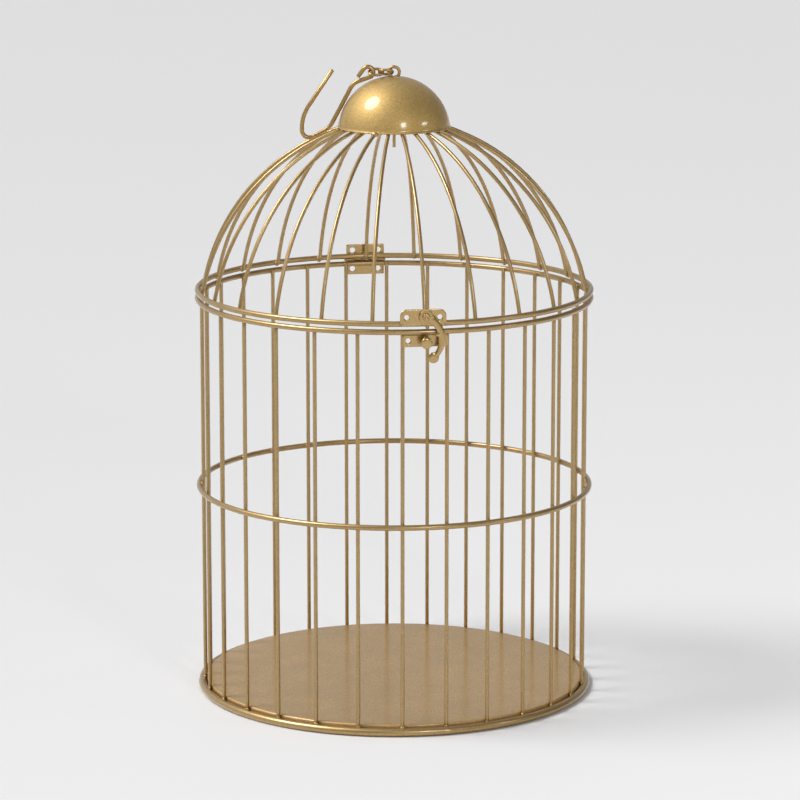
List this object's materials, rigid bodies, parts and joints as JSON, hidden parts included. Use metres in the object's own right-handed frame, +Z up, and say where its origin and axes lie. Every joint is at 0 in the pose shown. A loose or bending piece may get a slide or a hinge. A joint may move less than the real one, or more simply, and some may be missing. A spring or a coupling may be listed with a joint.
{
  "type": "birdcage card box",
  "caption": "Round wire birdcage used as a wedding card box, with a hinged dome lid, a swing-arm latch at the front, a ball cap and a hanging hook on a short chain.",
  "frame": {"origin": "centre of the base ring on the floor it stands on", "axes": "+Z up along the cage's axis; the latch faces -Y, the hinge is at +Y, and +X is to the right seen from the front"},
  "size_m": [0.25, 0.259, 0.3966],
  "materials": {
    "gold_wire": "satin champagne-gold metallic paint on steel wire",
    "gold_sheet": "satin champagne-gold metallic paint on pressed steel sheet",
    "gold_chain": "champagne-gold paint on small bent wire",
    "gold_hardware": "champagne-gold paint over stock pressed hardware"
  },
  "bodies": {
    "cage": {"base_plate": "gold_sheet", "base_ring": "gold_wire", "body_rim_ring": "gold_wire", "hinge_pin": "gold_hardware", "latch_keeper_plate": "gold_hardware", "latch_keeper_post": "gold_hardware", "lower_hinge_leaf": "gold_hardware", "mid_ring": "gold_wire", "upright_bar_01": "gold_wire", "upright_bar_02": "gold_wire", "upright_bar_03": "gold_wire", "upright_bar_04": "gold_wire", "upright_bar_05": "gold_wire", "upright_bar_06": "gold_wire", "upright_bar_07": "gold_wire", "upright_bar_08": "gold_wire", "upright_bar_09": "gold_wire", "upright_bar_10": "gold_wire", "upright_bar_11": "gold_wire", "upright_bar_12": "gold_wire", "upright_bar_13": "gold_wire", "upright_bar_14": "gold_wire", "upright_bar_15": "gold_wire", "upright_bar_16": "gold_wire", "upright_bar_17": "gold_wire", "upright_bar_18": "gold_wire", "upright_bar_19": "gold_wire", "upright_bar_20": "gold_wire", "upright_bar_21": "gold_wire", "upright_bar_22": "gold_wire", "upright_bar_23": "gold_wire", "upright_bar_24": "gold_wire", "upright_bar_25": "gold_wire", "upright_bar_26": "gold_wire", "upright_bar_27": "gold_wire", "upright_bar_28": "gold_wire"},
    "lid": {"crown_ring": "gold_wire", "dome_cap": "gold_sheet", "dome_rib_pair_01": "gold_wire", "dome_rib_pair_02": "gold_wire", "dome_rib_pair_03": "gold_wire", "dome_rib_pair_04": "gold_wire", "dome_rib_pair_05": "gold_wire", "dome_rib_pair_06": "gold_wire", "dome_rib_pair_07": "gold_wire", "dome_rib_pair_08": "gold_wire", "dome_rib_pair_09": "gold_wire", "dome_rib_pair_10": "gold_wire", "dome_rib_pair_11": "gold_wire", "dome_rib_pair_12": "gold_wire", "latch_plate": "gold_hardware", "latch_rivet": "gold_hardware", "lid_ring": "gold_wire", "lifting_eye": "gold_chain", "upper_hinge_leaf": "gold_hardware"},
    "latch_arm": {"latch_arm": "gold_hardware"},
    "first_link": {"chain_link_1": "gold_chain"},
    "second_link": {"chain_link_2": "gold_chain"},
    "hook": {"hanging_hook": "gold_chain"}
  },
  "joints": [
    {"name": "lid_hinge", "type": "hinge", "parent": "cage", "child": "lid", "pos_m": [0, 0.12682, 0.2536], "axis": [-1, 0, 0], "range_deg": [0, 180]},
    {"name": "latch_swing", "type": "hinge", "parent": "lid", "child": "latch_arm", "pos_m": [-0.0004, -0.12707, 0.2609], "axis": [0, -1, 0], "range_deg": [-8.5, 95]},
    {"name": "first_link_swing", "type": "hinge", "parent": "lid", "child": "first_link", "pos_m": [0, 0, 0.39215], "axis": [0.1305, 0.9914, 0], "range_deg": [0, 90]},
    {"name": "second_link_swing", "type": "hinge", "parent": "first_link", "child": "second_link", "pos_m": [-0.00813, 0.00107, 0.39215], "axis": [0.1305, 0.9914, 0], "range_deg": [0, 40]},
    {"name": "hook_swing", "type": "hinge", "parent": "second_link", "child": "hook", "pos_m": [-0.01606, 0.00211, 0.39215], "axis": [0.1305, 0.9914, 0], "range_deg": [0, 45]}
  ]
}
